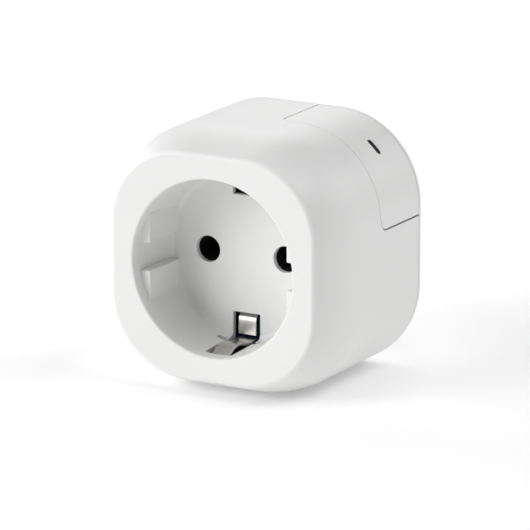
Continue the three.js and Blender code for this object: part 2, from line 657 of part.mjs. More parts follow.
// Power board
const roundComponent = (radius, y0, x, z) => barGeometry(radius, y0, COMPONENT_BASE, x, z, 20);
addPart('main_board', mainBoard(), BOARD_GREEN());
addPart('relay', boxGeometry([-13, 6], [21.5, COMPONENT_BASE], [-21.9, -8.6]), BLUE_PLASTIC());
addPart('transformer', boxGeometry([-12, 3], [25.5, COMPONENT_BASE], [8.6, 21]), YELLOW_TAPE());
addPart('mains_capacitor', roundComponent(3.9, 22, -19.8, 8.4), BLACK_PLASTIC());
addPart('choke', roundComponent(3.6, 27.7, -19.8, -8.4), BLACK_PLASTIC());
addPart('fuse', roundComponent(2.6, 27.5, 10.6, -11.9), GREY_PLASTIC());
addPart('bridge_rectifier', boxGeometry([17, 23], [33, COMPONENT_BASE], [-9.5, -4.5]), BLACK_PLASTIC());

function standingDisc(radius, halfThickness, x, z) {
  const disc = new THREE.CylinderGeometry(radius, radius, 2 * halfThickness, 20);
  return disc.rotateX(Math.PI / 2).translate(x, COMPONENT_BASE - radius, z);
}

addPart('varistor', standingDisc(3.9, 1.4, 10.5, -18.9), BLUE_PLASTIC());
addPart('suppression_capacitor', standingDisc(3.3, 1.4, 8.2, 11.5), YELLOW_TAPE());

// Wires
const SUPPLY_WIRE = [[0, 46.7, 0], [0.6, 44.5, 0], [1.4, 41, 0], [1.4, 37.5, 0]];
const EARTH_WIRE = [
  [-1.4, 18.6, 15.5], [-1.5, 19.8, 15.8], [-3.2, 21.6, 19.8], [-5, 25, 23], [-5, 36.8, 23],
  [-4.6, 39, 20.6], [-8.5, 40.3, 13.5], [-12.5, 41.8, 7.5], [-14.3, 43.3, 2.2], [-14.4, 43.6, 1.6],
];
for (const [name, side, sleeve] of [['live_wire', 1, BROWN_SLEEVE()], ['neutral_wire', -1, BLUE_SLEEVE()]]) {
  addPart(name, wireGeometry(SUPPLY_WIRE, SUPPLY_WIRE_RADIUS), sleeve).position.z = side * PIN_SPACING / 2;
}
addPart('earth_wire', wireGeometry(EARTH_WIRE, EARTH_WIRE_RADIUS), EARTH_SLEEVE());

export default smartPlug;
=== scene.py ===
"""Studio scene of a smart plug: a rounded white cube with an earthed socket well in front and a plug behind.

Shapes are written in millimetres from the centre of the socket face: X is right, Y runs back towards
the plug pins, Z is up. place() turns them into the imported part's frame, in metres.
"""

import json
import math

import bmesh
import bpy
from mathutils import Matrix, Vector


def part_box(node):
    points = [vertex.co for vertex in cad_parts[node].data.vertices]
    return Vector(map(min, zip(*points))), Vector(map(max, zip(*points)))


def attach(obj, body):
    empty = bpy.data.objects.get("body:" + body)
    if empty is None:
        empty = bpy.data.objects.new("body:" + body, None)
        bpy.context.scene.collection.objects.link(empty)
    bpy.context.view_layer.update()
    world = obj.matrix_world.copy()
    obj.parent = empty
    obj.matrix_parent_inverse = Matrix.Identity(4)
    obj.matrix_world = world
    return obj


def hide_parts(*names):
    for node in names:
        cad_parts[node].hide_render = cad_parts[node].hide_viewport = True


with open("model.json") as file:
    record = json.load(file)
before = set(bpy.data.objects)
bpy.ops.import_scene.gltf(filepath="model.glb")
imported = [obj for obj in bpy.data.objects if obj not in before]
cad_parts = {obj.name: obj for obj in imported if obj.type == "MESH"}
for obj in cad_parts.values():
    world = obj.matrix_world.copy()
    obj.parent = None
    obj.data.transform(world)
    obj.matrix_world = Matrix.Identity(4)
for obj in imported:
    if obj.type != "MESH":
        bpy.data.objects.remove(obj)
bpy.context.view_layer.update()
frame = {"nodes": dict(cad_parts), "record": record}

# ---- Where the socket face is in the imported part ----

HOUSING_LOW, HOUSING_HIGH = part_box("front_housing")
FACE_Y = HOUSING_LOW.y
AXIS_X = (HOUSING_LOW.x + HOUSING_HIGH.x) / 2
AXIS_Z = (HOUSING_LOW.z + HOUSING_HIGH.z) / 2
MM = 0.001


def place(point):
    """A point in socket millimetres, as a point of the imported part."""
    x, y, z = point
    return Vector((AXIS_X + x * MM, FACE_Y + y * MM, AXIS_Z + z * MM))


# ---- Driving dimensions, in millimetres ----

# Casing
FACE_HALF = 24.8
BODY_HALF = 28.3
SHOULDER_LENGTH = 14.0
FACE_CORNER = 17.0
BODY_CORNER = 19.6
FACE_EDGE_ROUND = 0.8
BODY_DEPTH = 43.5
REAR_ROUND = 3.0
WALL = 2.2
COVER_WALL = 1.8
SEAM = 0.3                # gap between neighbouring pieces
REAR_SEAM = 0.15          # gap between the housing and the rear cover
SEAM_EDGE_ROUND = 0.08
COVER_FRONT = BODY_DEPTH - REAR_ROUND
HOUSING_REAR = COVER_FRONT - REAR_SEAM
PAST_REAR = 45.0          # where a cutter that leaves the casing's rear ends
PAST_CORNER = 45.0        # where a cutter that leaves the corner's surface ends, along the diagonal

# Socket well
WELL_RADIUS = 19.5
WELL_DRAFT = 0.6
WELL_LIP_ROUND = 0.5
WELL_DEPTH = 15.0
WELL_FLOOR_ROUND = 1.2
CUP_RADIUS = 21.1
CUP_REAR = 16.2
PIN_SPACING = 19.0
PIN_PLACES = (-PIN_SPACING / 2, PIN_SPACING / 2)
PIN_HOLE_RADIUS = 2.9
PIN_HOLE_ROUND = 0.15
GUIDE_CHORD = 16.7
GUIDE_FRONT = 2.6
GUIDE_REAR = CUP_REAR - 0.4
GUIDE_HEIGHT = 9.6
GUIDE_NOTCH_HALF = 3.05
GUIDE_ROUND = 0.3
CLIP_SLOT_HALF = 3.35
CLIP_SLOT_FRONT = 2.9
CLIP_SLOT_INNER = 17.0
CLIP_SLOT_REACH = 21.8
CLIP_SLOT_REAR = CUP_REAR + 0.5
CLIP_POCKET_HALF = 5.5
CLIP_POCKET_DEPTHS = (11.4, 13.0)
WINDOW_INNER = 13.0
WINDOW_OUTER = 19.3

# Earth contacts: midlines are (y, z) pairs
EARTH_CLIP_MIDLINE = [(17.3, 18.6), (13, 19.1), (10, 18.6), (8.6, 18.3), (7.2, 18.3), (5.6, 18.8), (3.7, 20)]
BRIDGE_END_MIDLINE = [(15.6, 17.9), (15.6, 14.8), (16.1, 13.9), (17.4, 12.8), (17.9, 11.8)]
EARTH_CLIP_THICKNESS = 0.6
EARTH_CLIP_HALF = 2.2
REAR_EARTH_MIDLINE = [(44.45, 13.6), (44.45, 17.2), (45.2, 17.9), (59.3, 17.9), (59.9, 17.2)]
REAR_EARTH_THICKNESS = 0.7
REAR_EARTH_HALF = 2.5

# Rear plug
BOSS_RADIUS = 18.2
BOSS_INNER = 16.4
BOSS_END = 60.5
BOSS_WALL = 2.0
BOSS_FLAT = 16.2
BOSS_KEY_HALF = 2.6
BOSS_END_ROUND = 0.8
BOSS_FLAT_REACH = 12.0
BOSS_GROOVE_HALF = 2.8
BOSS_GROOVE_FLOOR = 17.2
BOSS_PAST_WALL = 20.0      # outside the boss, where its cutters end
PIN_RADIUS = 2.4
PIN_LENGTH = 19.0
PIN_TIP = BOSS_END + PIN_LENGTH
PIN_GAP = 0.05
PIN_FLANGE_RADIUS = 3.6
PIN_FLANGE_THICKNESS = 1.0
PIN_TAIL_RADIUS = 1.8
PIN_TAIL_FRONT = 47.0

# Button panel: t runs across the corner's diagonal, positive down the right side
PANEL_LOW = -17.5
PANEL_HIGH = 15.4
PANEL_FRONT = 23.0
PANEL_CORNER = 2.5
PANEL_FINE_SEAM = 0.12
PANEL_THICKNESS = 3.3
PANEL_FLANGE_DEPTH = 2.5
PANEL_FLANGE_WIDTH = 1.4
PANEL_GAP_FLOOR = 18.0
LIGHT_DEPTH = 31.5
LIGHT_ACROSS = -0.6
LIGHT_HALF_LENGTH = 2.05
LIGHT_HALF_WIDTH = 0.75
LIGHT_EDGE_ROUND = 0.12
LIGHT_GAP_FLOOR = 20.0
LENS_CLEARANCE = 0.03
LENS_SINK = 0.12
LENS_EDGE_ROUND = 0.1
LENS_FOOT = 1.0            # how far the lens reaches below the panel
DIMPLE_RADIUS = 4.7
DIMPLE_DEPTH = 0.07
DIMPLE_SLOPE = 1.0

# Fasteners
SCREW_PLACE = 18.1
SCREW_PLACES = ((-SCREW_PLACE, SCREW_PLACE), (-SCREW_PLACE, -SCREW_PLACE), (SCREW_PLACE, -SCREW_PLACE))
POST_RADIUS = 3.2
POST_FRONT = 3.0
POST_HOLE_RADIUS = 1.5
POST_HOLE_FRONT = 29.0
SCREW_SEAT_RADIUS = 2.6
SCREW_SEAT_DEPTH = 1.6
SCREW_SEAT_ROUND = 0.3
SCREW_RADIUS = 1.2
SCREW_TIP_RADIUS = 0.1
SCREW_TIP = 30.0
SCREW_HEAD_RADIUS = 2.3
SCREW_HEAD_FRONT = 42.1
SCREW_HEAD_REAR = 43.3
SCREW_HEAD_ROUND = 0.6
RECESS_HALF_WIDTH = 0.32
RECESS_HALF_LENGTH = 1.35
RECESS_DEPTH = 1.0

ROUND_SEGMENTS = 160


# ---- Mesh helpers ----

def new_object(name, points, faces):
    """A mesh object from socket millimetres, with its faces turned outwards."""
    mesh = bpy.data.meshes.new(name)
    mesh.from_pydata([place(point) for point in points], [], faces)
    shape = bmesh.new()
    shape.from_mesh(mesh)
    bmesh.ops.recalc_face_normals(shape, faces=shape.faces)
    shape.to_mesh(mesh)
    shape.free()
    obj = bpy.data.objects.new(name, mesh)
    bpy.context.scene.collection.objects.link(obj)
    return obj


def loft(name, rings, joined=False):
    """A skin through rings of equal length: capped at both ends, or joined end to end."""
    count = len(rings[0])
    points = [point for ring in rings for point in ring]
    faces = []
    last = len(rings) if joined else len(rings) - 1
    for r in range(last):
        here = r * count
        there = (r + 1) % len(rings) * count
        for i in range(count):
            j = (i + 1) % count
            faces.append((here + i, here + j, there + j, there + i))
    if not joined:
        faces.append(tuple(range(count)))
        faces.append(tuple(range((len(rings) - 1) * count, len(rings) * count)))
    return new_object(name, points, faces)


def block(name, x_range, y_range, z_range):
    """A box between two values on each axis."""
    points = [(x, y, z) for x in x_range for y in y_range for z in z_range]
    faces = [(0, 1, 3, 2), (4, 6, 7, 5), (0, 4, 5, 1), (2, 3, 7, 6), (0, 2, 6, 4), (1, 5, 7, 3)]
    return new_object(name, points, faces)


def soften(obj, width, segments=3):
    """Round every edge of a simple block."""
    bevel = obj.modifiers.new("soften", "BEVEL")
    bevel.width = width * MM
    bevel.segments = segments
    apply_modifiers(obj)
    return obj


def circle(radius, y, x=0.0, z=0.0, segments=ROUND_SEGMENTS):
    turn = 2 * math.pi / segments
    return [(x + radius * math.cos(i * turn), y, z + radius * math.sin(i * turn)) for i in range(segments)]


def turned(name, profile, x=0.0, z=0.0, segments=ROUND_SEGMENTS):
    """A turned piece about a line along Y, from (radius, y) pairs."""
    return loft(name, [circle(radius, y, x, z, segments) for radius, y in profile])


def straight_pieces(name, radius, front, rear, places, segments):
    """Equal cylinders along Y, one at each (x, z) place."""
    return [turned(name, [(radius, front), (radius, rear)], x, z, segments) for x, z in places]


def arc(centre, radius, start, end, steps=8):
    """Points of an arc between two angles in degrees, as (radius, y) pairs of a profile."""
    angles = [math.radians(start + (end - start) * i / steps) for i in range(steps + 1)]
    return [(centre[0] + radius * math.cos(a), centre[1] + radius * math.sin(a)) for a in angles]


def apply_modifiers(obj):
    depsgraph = bpy.context.evaluated_depsgraph_get()
    finished = bpy.data.meshes.new_from_object(obj.evaluated_get(depsgraph))
    rough = obj.data
    obj.modifiers.clear()
    obj.data = finished
    bpy.data.meshes.remove(rough)
    finished.name = obj.name


def combine(target, join=(), cut=(), within=()):
    """Join solids to a target, cut others from it and keep what is within the last, then drop the tools."""
    steps = [("UNION", tool) for tool in join]
    steps += [("DIFFERENCE", tool) for tool in cut]
    steps += [("INTERSECT", tool) for tool in within]
    for operation, tool in steps:
        boolean = target.modifiers.new("combine", "BOOLEAN")
        boolean.operation = operation
        boolean.solver = "MANIFOLD"
        boolean.object = tool
    apply_modifiers(target)
    for _, tool in steps:
        spare = tool.data
        bpy.data.objects.remove(tool)
        bpy.data.meshes.remove(spare)
    return target


def smooth(obj, angle=32):
    """Smooth shading that keeps edges sharper than an angle."""
    obj.data.shade_smooth()
    obj.data.set_sharp_from_angle(angle=math.radians(angle))
    weighted = obj.modifiers.new("even shading", "WEIGHTED_NORMAL")
    weighted.keep_sharp = True
    return obj


def side_span(side, inner, outer):
    """The range between two distances from the axis, above it (side 1) or below it (side -1)."""
    return (inner, outer) if side > 0 else (-outer, -inner)


# ---- The casing's outline ----

def drawn_in(radius, past):
    """How far a rounded edge has drawn in at a distance past where its round begins."""
    return radius - math.sqrt(max(radius ** 2 - max(past, 0) ** 2, 0))


def rounded_square(half, radius, y, corner_steps=24, side_steps=10):
    points = []
    for corner in range(4):
        sign_x = 1 if corner in (0, 3) else -1
        sign_z = 1 if corner < 2 else -1
        arc_points = []
        for step in range(corner_steps + 1):
            angle = (corner + step / corner_steps) * math.pi / 2
            x = sign_x * (half - radius) + radius * math.cos(angle)
            z = sign_z * (half - radius) + radius * math.sin(angle)
            arc_points.append((x, y, z))
        if points:
            points += between(points[-1], arc_points[0], side_steps)
        points += arc_points
    return points + between(points[-1], points[0], side_steps)


def between(start, end, steps):
    """The points inside a straight line, without its ends."""
    a, b = Vector(start), Vector(end)
    return [tuple(a.lerp(b, i / steps)) for i in range(1, steps)]


def casing_ring(y, inset=0.0, front_round=FACE_EDGE_ROUND, round_past=None):
    """The casing's outline at a depth, shrunk by an inset; round_past rounds a seam edge: (start, radius)."""
    flare = 1 - (1 - min(max(y, 0) / SHOULDER_LENGTH, 1)) ** 2
    half = FACE_HALF + (BODY_HALF - FACE_HALF) * flare
    radius = FACE_CORNER + (BODY_CORNER - FACE_CORNER) * flare
    shrink = inset + drawn_in(front_round, front_round - y) + drawn_in(REAR_ROUND, y - COVER_FRONT)
    if round_past:
        start, edge = round_past
        shrink += drawn_in(edge, abs(y - start) if (y - start) * edge_side(round_past) > 0 else 0)
    return rounded_square(half - shrink, radius - shrink, y)


def edge_side(round_past):
    """A seam edge rounds towards its rear if it is the housing's, and towards its front if the cover's."""
    return 1 if round_past[0] < HOUSING_REAR else -1


def spaced(start, end, count):
    return [start + (end - start) * i / count for i in range(count + 1)]


def eased(start, end, count):
    """Depths that crowd towards the start, as a rounded edge needs."""
    return [start + (end - start) * (1 - math.cos(i / count * math.pi / 2)) for i in range(count + 1)]


def unique(values):
    kept = []
    for value in values:
        if not kept or abs(value - kept[-1]) > 1e-6:
            kept.append(value)
    return kept


# ---- The corner that carries the button panel ----

ROOT2 = math.sqrt(2)
CORNER_ARC_HALF = BODY_CORNER / ROOT2
CORNER_CENTRE = (BODY_HALF - BODY_CORNER) * ROOT2


def corner_height(t):
    """The casing's distance from the axis along the diagonal, at a distance t across it."""
    if abs(t) < CORNER_ARC_HALF:
        return CORNER_CENTRE + math.sqrt(BODY_CORNER ** 2 - t ** 2)
    return ROOT2 * BODY_HALF - abs(t)


def on_diagonal(t, y, height):
    return ((height + t) / ROOT2, y, (height - t) / ROOT2)


def corner_ring(outline, depth):
    """An outline of (t, y) pairs laid on the corner, a depth below its surface."""
    return [on_diagonal(t, y, corner_height(t) - depth) for t, y in outline]


def level_ring(outline, height):
    """An outline of (t, y) pairs at one distance from the axis along the diagonal."""
    return [on_diagonal(t, y, height) for t, y in outline]


def rounded_rectangle(low, high, front, rear, front_round, rear_round, steps=10, side_steps=30):
    """Points (t, y) of a rectangle with two front corners and two rear corners rounded."""
    corners = [
        (low + front_round, front + front_round, front_round, 180),
        (high - front_round, front + front_round, front_round, 270),
        (high - rear_round, rear - rear_round, rear_round, 0),
        (low + rear_round, rear - rear_round, rear_round, 90),
    ]
    points = []
    for t, y, radius, start in corners:
        arc_points = arc((t, y), radius, start, start + 90, steps)
        if points:
            points += between_flat(points[-1], arc_points[0], side_steps)
        points += arc_points
    return points + between_flat(points[-1], points[0], side_steps)


def between_flat(start, end, steps):
    return [tuple(Vector(start).lerp(Vector(end), i / steps)) for i in range(1, steps)]


def outline_of_panel(offset, side_seam, fine_seam, rear):
    """The panel's outline inside its seams, moved in by an offset; it stops at the rear edge if moved out."""
    return rounded_rectangle(
        PANEL_LOW + fine_seam + offset, PANEL_HIGH - side_seam - offset, PANEL_FRONT + fine_seam + offset,
        rear - max(offset, 0), max(PANEL_CORNER - fine_seam - offset, 0.2), 0.2)


def panel_outline(offset):
    return outline_of_panel(offset, SEAM, PANEL_FINE_SEAM, HOUSING_REAR)


def panel_opening(offset):
    past_housing = HOUSING_REAR + 5
    return outline_of_panel(offset, 0, 0, past_housing)


def light_outline(offset):
    half_length = LIGHT_HALF_LENGTH - offset
    half_width = LIGHT_HALF_WIDTH - offset
    end_round = half_width * 0.98
    return rounded_rectangle(
        LIGHT_ACROSS - half_length, LIGHT_ACROSS + half_length,
        LIGHT_DEPTH - half_width, LIGHT_DEPTH + half_width,
        end_round, end_round, 8, 6)


def scaled(outline, share):
    """An outline shrunk towards its middle."""
    t_middle = sum(t for t, _ in outline) / len(outline)
    y_middle = sum(y for _, y in outline) / len(outline)
    return [(t_middle + (t - t_middle) * share, y_middle + (y - y_middle) * share) for t, y in outline]


def dome(outline, depth, steps):
    """Rings that close an outline over the corner's surface."""
    return [corner_ring(scaled(outline, 1 - i / steps), depth) for i in range(1, steps)]


def fillet(radius, steps=4):
    """(offset, depth) pairs of a rounded outer edge, from the side wall up to the surface."""
    turns = [i / steps * math.pi / 2 for i in range(steps + 1)]
    return [(radius * (1 - math.cos(a)), radius * (1 - math.sin(a))) for a in turns]


def corner_opening(name, outline, edge_round, floor, lip=0.02):
    """A cutter for an opening in the corner, with the opening's edge rounded outwards."""
    rings = [level_ring(outline(0), floor)]
    for offset, depth in fillet(edge_round):
        rings.append(corner_ring(outline(-offset), depth - lip))
    rings.append(level_ring(outline(-edge_round), PAST_CORNER))
    return loft(name, rings)


# ---- Front housing ----

def well_cutter():
    floor_radius = WELL_RADIUS - WELL_DRAFT
    lip = arc((WELL_RADIUS + WELL_LIP_ROUND, WELL_LIP_ROUND), WELL_LIP_ROUND, -90, -180)
    corner = (floor_radius - WELL_FLOOR_ROUND, WELL_DEPTH - WELL_FLOOR_ROUND)
    foot = arc(corner, WELL_FLOOR_ROUND, 0, 90)
    profile = [(WELL_RADIUS + WELL_LIP_ROUND, -1)] + lip + foot
    return turned("well", profile)


def guide_pads():
    """Four flat pads that guide a plug, two on each side of the well with a notch between them."""
    inside_wall = (WELL_RADIUS + CUP_RADIUS) / 2
    pads = []
    for beside in (1, -1):
        for above in (1, -1):
            pad = block("pad", side_span(beside, GUIDE_CHORD, CUP_RADIUS), (GUIDE_FRONT, GUIDE_REAR),
                        side_span(above, GUIDE_NOTCH_HALF, GUIDE_HEIGHT))
            soften(pad, GUIDE_ROUND)
            pads.append(combine(pad, within=[turned("wall", [(inside_wall, 1), (inside_wall, CUP_REAR)])]))
    return pads


def earth_slots():
    """Slots in the wall, windows in the floor and cross pockets for the two earth clips."""
    slot_width = (-CLIP_SLOT_HALF, CLIP_SLOT_HALF)
    pocket_width = (-CLIP_POCKET_HALF, CLIP_POCKET_HALF)
    cutters = []
    for side in (1, -1):
        reach = side_span(side, CLIP_SLOT_INNER, CLIP_SLOT_REACH)
        window_reach = side_span(side, WINDOW_INNER, WINDOW_OUTER)
        cutters.append(block("slot", slot_width, (CLIP_SLOT_FRONT, CLIP_SLOT_REAR), reach))
        cutters.append(block("window", slot_width, (WELL_DEPTH - 1, CLIP_SLOT_REAR), window_reach))
        cutters.append(block("pocket", pocket_width, CLIP_POCKET_DEPTHS, reach))
    return cutters


def pin_hole(x):
    lip = arc((PIN_HOLE_RADIUS + PIN_HOLE_ROUND, WELL_DEPTH + PIN_HOLE_ROUND), PIN_HOLE_ROUND, -90, -180, 4)
    profile = [(PIN_HOLE_RADIUS + PIN_HOLE_ROUND, WELL_DEPTH - 1)] + lip + [(PIN_HOLE_RADIUS, CUP_REAR + 1)]
    return turned("pin_hole", profile, x, segments=72)


def build_housing():
    depths = unique(eased(0, FACE_EDGE_ROUND, 8) + spaced(FACE_EDGE_ROUND, SHOULDER_LENGTH, 24)
                    + spaced(SHOULDER_LENGTH, HOUSING_REAR - SEAM_EDGE_ROUND, 16)
                    + [HOUSING_REAR - SEAM_EDGE_ROUND * share for share in (0.6, 0.3, 0.1, 0)])
    edge = (HOUSING_REAR - SEAM_EDGE_ROUND, SEAM_EDGE_ROUND)
    housing = loft("socket_housing", [casing_ring(y, round_past=edge) for y in depths])
    inside_depths = [WALL] + spaced(3, SHOULDER_LENGTH, 6) + [COVER_FRONT]
    inside = loft("inside", [casing_ring(y, WALL) for y in inside_depths])
    cup = turned("cup", [(CUP_RADIUS, 1), (CUP_RADIUS, CUP_REAR)])
    posts = straight_pieces("post", POST_RADIUS, POST_FRONT, HOUSING_REAR - SEAM, SCREW_PLACES, 48)
    post_holes = straight_pieces("hole", POST_HOLE_RADIUS, POST_HOLE_FRONT, PAST_REAR, SCREW_PLACES, 32)
    combine(housing, cut=[inside])
    combine(housing, join=[cup, *posts], cut=[well_cutter()])
    combine(housing, join=guide_pads(), cut=[
        *earth_slots(),
        *[pin_hole(x) for x in PIN_PLACES],
        *post_holes,
        corner_opening("panel_gap", panel_opening, SEAM_EDGE_ROUND, PANEL_GAP_FLOOR),
    ])
    smooth(housing)
    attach(housing, "casing")
    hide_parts("front_housing")
    return housing


# ---- Button panel and status light ----

def dimple_cutter():
    """A shallow round dish in the panel, centred on the status light."""
    segments = 96
    slope_steps = 8

    def round_outline(radius):
        turn = 2 * math.pi / segments
        return [(LIGHT_ACROSS + radius * math.cos(i * turn), LIGHT_DEPTH + radius * math.sin(i * turn))
                for i in range(segments)]

    rings = [corner_ring(round_outline(0.3), DIMPLE_DEPTH)]
    slope_start = DIMPLE_RADIUS - DIMPLE_SLOPE
    for radius in spaced(1, slope_start, 4):
        rings.append(corner_ring(round_outline(radius), DIMPLE_DEPTH))
    for step in range(1, slope_steps + 1):
        fade = (1 + math.cos(math.pi * step / slope_steps)) / 2
        radius = slope_start + DIMPLE_SLOPE * step / slope_steps
        rings.append(corner_ring(round_outline(radius), DIMPLE_DEPTH * fade))
    clear_of_surface = round_outline(DIMPLE_RADIUS + 0.1)
    rings.append(corner_ring(clear_of_surface, -0.03))
    rings.append(level_ring(clear_of_surface, 40))
    return loft("dimple", rings)


def build_panel():
    flange = -(SEAM + PANEL_FLANGE_WIDTH)
    steps = 30
    rings = list(reversed(dome(panel_outline(flange), PANEL_THICKNESS, steps)))
    rings.append(corner_ring(panel_outline(flange), PANEL_THICKNESS))
    rings.append(corner_ring(panel_outline(flange), PANEL_FLANGE_DEPTH))
    rings.append(corner_ring(panel_outline(0), PANEL_FLANGE_DEPTH))
    for offset, depth in fillet(SEAM_EDGE_ROUND):
        rings.append(corner_ring(panel_outline(offset), depth))
    rings += dome(panel_outline(SEAM_EDGE_ROUND), 0, steps)
    panel = loft("press_panel", rings)
    light_gap = corner_opening("light_gap", light_outline, LIGHT_EDGE_ROUND, LIGHT_GAP_FLOOR)
    combine(panel, cut=[dimple_cutter(), light_gap])
    smooth(panel)
    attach(panel, "button")
    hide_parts("button_panel")
    return panel


def build_status_lens():
    foot = corner_height(0) - PANEL_THICKNESS - LENS_FOOT
    rings = [level_ring(light_outline(LENS_CLEARANCE), foot)]
    for offset, depth in fillet(LENS_EDGE_ROUND):
        rings.append(corner_ring(light_outline(LENS_CLEARANCE + offset), LENS_SINK + depth))
    rings += dome(light_outline(LENS_CLEARANCE + LENS_EDGE_ROUND), LENS_SINK, 5)
    lens = smooth(loft("status_lens", rings))
    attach(lens, "button")
    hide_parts("status_light_window")
    return lens


# ---- Rear cover and plug ----

def boss():
    body = turned("boss", [(BOSS_RADIUS, BODY_DEPTH - 1)]
                  + arc((BOSS_RADIUS - BOSS_END_ROUND, BOSS_END - BOSS_END_ROUND), BOSS_END_ROUND, 0, 90))
    flats = []
    for above in (1, -1):
        for beside in (1, -1):
            flats.append(block("flat", side_span(beside, BOSS_KEY_HALF, BOSS_FLAT_REACH),
                               (BODY_DEPTH, BOSS_END + 1), side_span(above, BOSS_FLAT, BOSS_PAST_WALL)))
    return combine(body, cut=flats)


def contact_grooves():
    """A groove on each side of the boss, open at its end, with a way in for the strip at the casing."""
    width = (-BOSS_GROOVE_HALF, BOSS_GROOVE_HALF)
    outside = 19
    front = BODY_DEPTH + 0.3
    past_end = BOSS_END + 1
    spans = (
        (BOSS_GROOVE_FLOOR, front, past_end),
        (15, front, BODY_DEPTH + 1.6),
        (BOSS_INNER, BOSS_END - 1.1, past_end),
    )
    return [block("groove", side_span(side, floor, outside), (start, end), width)
            for side in (1, -1) for floor, start, end in spans]


def build_cover():
    edge = (COVER_FRONT + SEAM_EDGE_ROUND, SEAM_EDGE_ROUND)
    round_steps = 16
    depths = unique([COVER_FRONT + SEAM_EDGE_ROUND * share for share in (0, 0.1, 0.3, 0.6, 1)]
                    + [COVER_FRONT + REAR_ROUND * math.sin(i / round_steps * math.pi / 2)
                       for i in range(2, round_steps + 1)])
    cover = loft("plug_cover", [casing_ring(y, round_past=edge) for y in depths])
    inner = [rounded_square(BODY_HALF - WALL, BODY_CORNER - WALL, y)
             for y in (COVER_FRONT - 1, BODY_DEPTH - COVER_WALL)]
    combine(cover, cut=[loft("inner", inner)])
    pin_places = [(0, z) for z in PIN_PLACES]
    before_cover = COVER_FRONT - 2
    shaft_radius = POST_HOLE_RADIUS + 0.1
    seats = straight_pieces("seat", POST_RADIUS + 0.6, HOUSING_REAR, BODY_DEPTH - 1, SCREW_PLACES, 64)
    pin_gaps = straight_pieces("gap", PIN_RADIUS + PIN_GAP, BOSS_END - 4, BOSS_END + 1, pin_places, 72)
    shaft_holes = straight_pieces("hole", shaft_radius, before_cover, PAST_REAR, SCREW_PLACES, 32)
    lip_radius = SCREW_SEAT_RADIUS + SCREW_SEAT_ROUND
    lip = arc((lip_radius, BODY_DEPTH - SCREW_SEAT_ROUND), SCREW_SEAT_ROUND, 180, 90, 5)
    head_profile = [(SCREW_SEAT_RADIUS, BODY_DEPTH - SCREW_SEAT_DEPTH)] + lip + [(lip_radius, PAST_REAR)]
    head_holes = [turned("hole", head_profile, x, z, 72) for x, z in SCREW_PLACES]
    hollow = turned("hollow", [(BOSS_INNER, before_cover), (BOSS_INNER, BOSS_END - BOSS_WALL)])
    combine(cover, join=[boss(), *seats],
            cut=[hollow, *contact_grooves(), *pin_gaps, *shaft_holes, *head_holes])
    smooth(cover)
    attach(cover, "casing")
    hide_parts("rear_cover")
    return cover


def build_pin(name, z):
    flange_rear = BOSS_END - BOSS_WALL - SEAM
    flange_front = flange_rear - PIN_FLANGE_THICKNESS
    tip_start = PIN_TIP - PIN_RADIUS
    profile = [(PIN_TAIL_RADIUS, PIN_TAIL_FRONT), (PIN_TAIL_RADIUS, flange_front),
               (PIN_FLANGE_RADIUS, flange_front), (PIN_FLANGE_RADIUS, flange_rear), (PIN_RADIUS, flange_rear)]
    profile += [(PIN_RADIUS, y) for y in spaced(flange_rear, tip_start, 12)[1:-1]]
    profile += arc((0, tip_start), PIN_RADIUS, 0, 88, 14)
    pin = smooth(turned(f"mains_pin_{name}", profile, 0, z, 96))
    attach(pin, "casing")
    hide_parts(f"plug_pin_{name}")
    return pin


def build_cover_screw(number, x, z):
    """A pan-head screw with a cross recess."""
    round_start = SCREW_HEAD_REAR - SCREW_HEAD_ROUND
    profile = [(SCREW_TIP_RADIUS, SCREW_TIP), (SCREW_RADIUS, SCREW_TIP + SCREW_RADIUS),
               (SCREW_RADIUS, SCREW_HEAD_FRONT), (SCREW_HEAD_RADIUS, SCREW_HEAD_FRONT),
               (SCREW_HEAD_RADIUS, round_start)]
    profile += arc((SCREW_HEAD_RADIUS - SCREW_HEAD_ROUND, round_start), SCREW_HEAD_ROUND, 15, 90, 6)
    screw = turned(f"cover_screw_{number}", profile, x, z, 64)
    recess = []
    for upright in (True, False):
        rings = []
        for y, share in ((SCREW_HEAD_REAR - RECESS_DEPTH, 0.35), (SCREW_HEAD_REAR + 0.1, 1.0)):
            w, h = RECESS_HALF_WIDTH, RECESS_HALF_LENGTH * share
            if not upright:
                w, h = h, w
            rings.append([(x - w, y, z - h), (x + w, y, z - h), (x + w, y, z + h), (x - w, y, z + h)])
        recess.append(loft("recess", rings))
    combine(screw, cut=recess)
    smooth(screw)
    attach(screw, "casing")
    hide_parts(f"housing_screw_{number}")
    return screw


# ---- Bent metal strips ----

def smooth_line(points, steps=8):
    """A curve through (y, z) points, with straight end tangents."""
    line = [Vector(point) for point in points]
    padded = [2 * line[0] - line[1], *line, 2 * line[-1] - line[-2]]
    curve = []
    for i in range(1, len(padded) - 2):
        p0, p1, p2, p3 = padded[i - 1:i + 3]
        for step in range(steps):
            s = step / steps
            curve.append(0.5 * (2 * p1 + (p2 - p0) * s + (2 * p0 - 5 * p1 + 4 * p2 - p3) * s ** 2
                                + (3 * p1 - p0 - 3 * p2 + p3) * s ** 3))
    return curve + [line[-1]]


def strip_section(half_width, half_thickness, edge=0.14, steps=3):
    """A flat section with rounded edges: (across, out) pairs."""
    points = []
    for across, out, start in ((1, 1, 0), (-1, 1, 90), (-1, -1, 180), (1, -1, 270)):
        centre = (across * (half_width - edge), out * (half_thickness - edge))
        points += arc(centre, edge, start, start + 90, steps)
    return points


